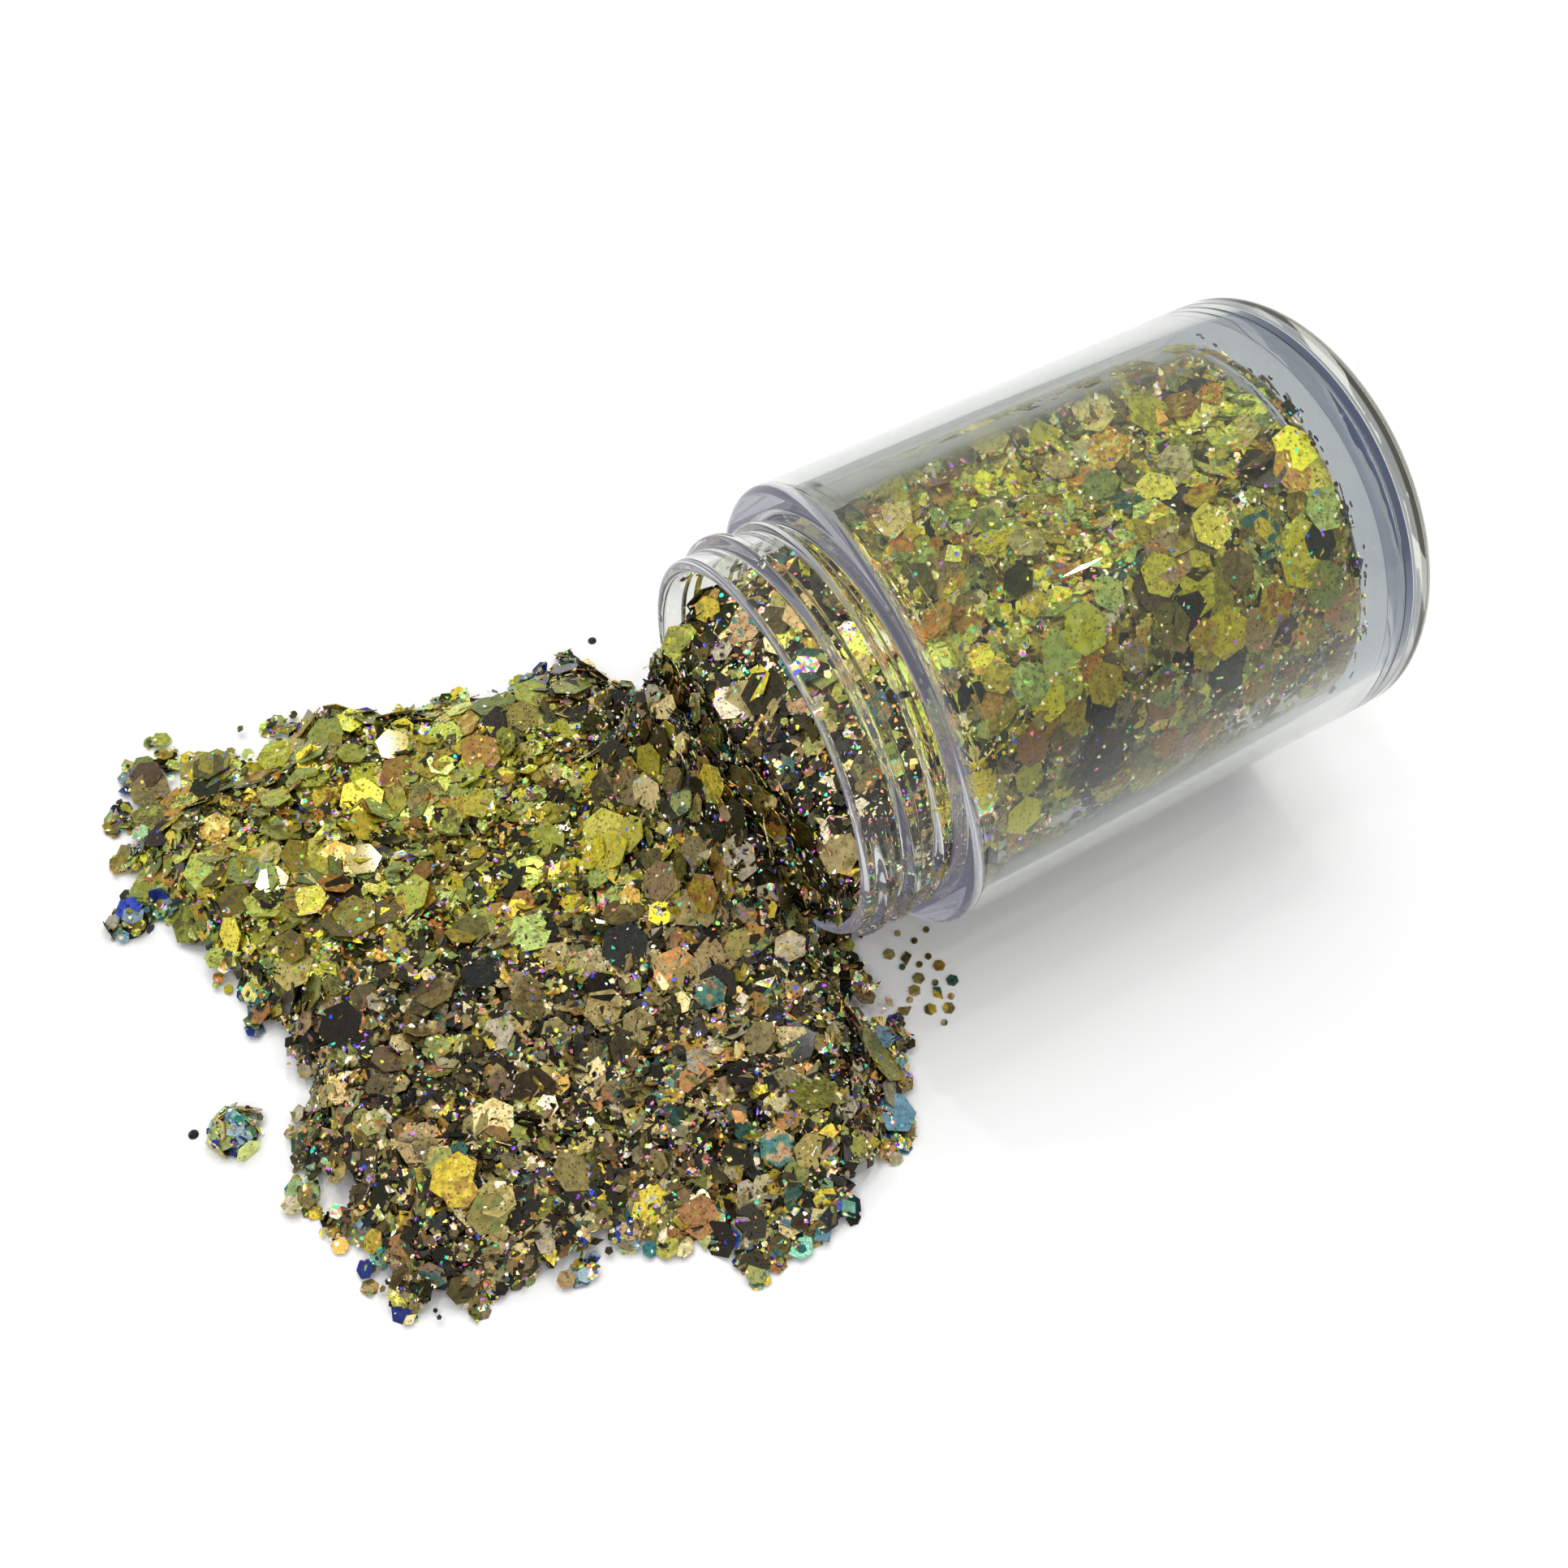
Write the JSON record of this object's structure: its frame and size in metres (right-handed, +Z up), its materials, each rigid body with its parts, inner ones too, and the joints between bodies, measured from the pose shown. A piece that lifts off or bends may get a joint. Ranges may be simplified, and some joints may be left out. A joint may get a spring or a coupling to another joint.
{
  "type": "sample vial",
  "caption": "Clear double-walled vial with a threaded neck, lying on its side with gold flakes spilled from its open mouth.",
  "frame": {"origin": "middle of the whole layout's footprint, on the table", "axes": "+Z up from the table, +X along the vial from its mouth to its base"},
  "size_m": [0.0758, 0.0534, 0.028],
  "materials": {
    "clear_shell": "polished clear",
    "clear_cup": "polished clear",
    "clear_base": "polished clear",
    "packed_flakes": "metallised film flakes",
    "loose_flakes": "metallised film flakes",
    "gold_flake": "metallised film",
    "copper_flake": "metallised film",
    "dark_flake": "metallised film"
  },
  "bodies": {
    "spill": {"spill_heap": "loose_flakes", "loose_clumps": "loose_flakes", "stray_hexes": "copper_flake", "stray_dots": "dark_flake", "stray_shards": "gold_flake"},
    "vial": {"outer_shell": "clear_shell", "inner_cup": "clear_cup", "base_disc": "clear_base", "sample_fill": "packed_flakes"}
  },
  "joints": [
    {"name": "tip_upright", "type": "hinge", "parent": "spill", "child": "vial", "pos_m": [0.0379, -0.0043, 0], "axis": [0, 1, 0], "range_deg": [0, 90]}
  ]
}
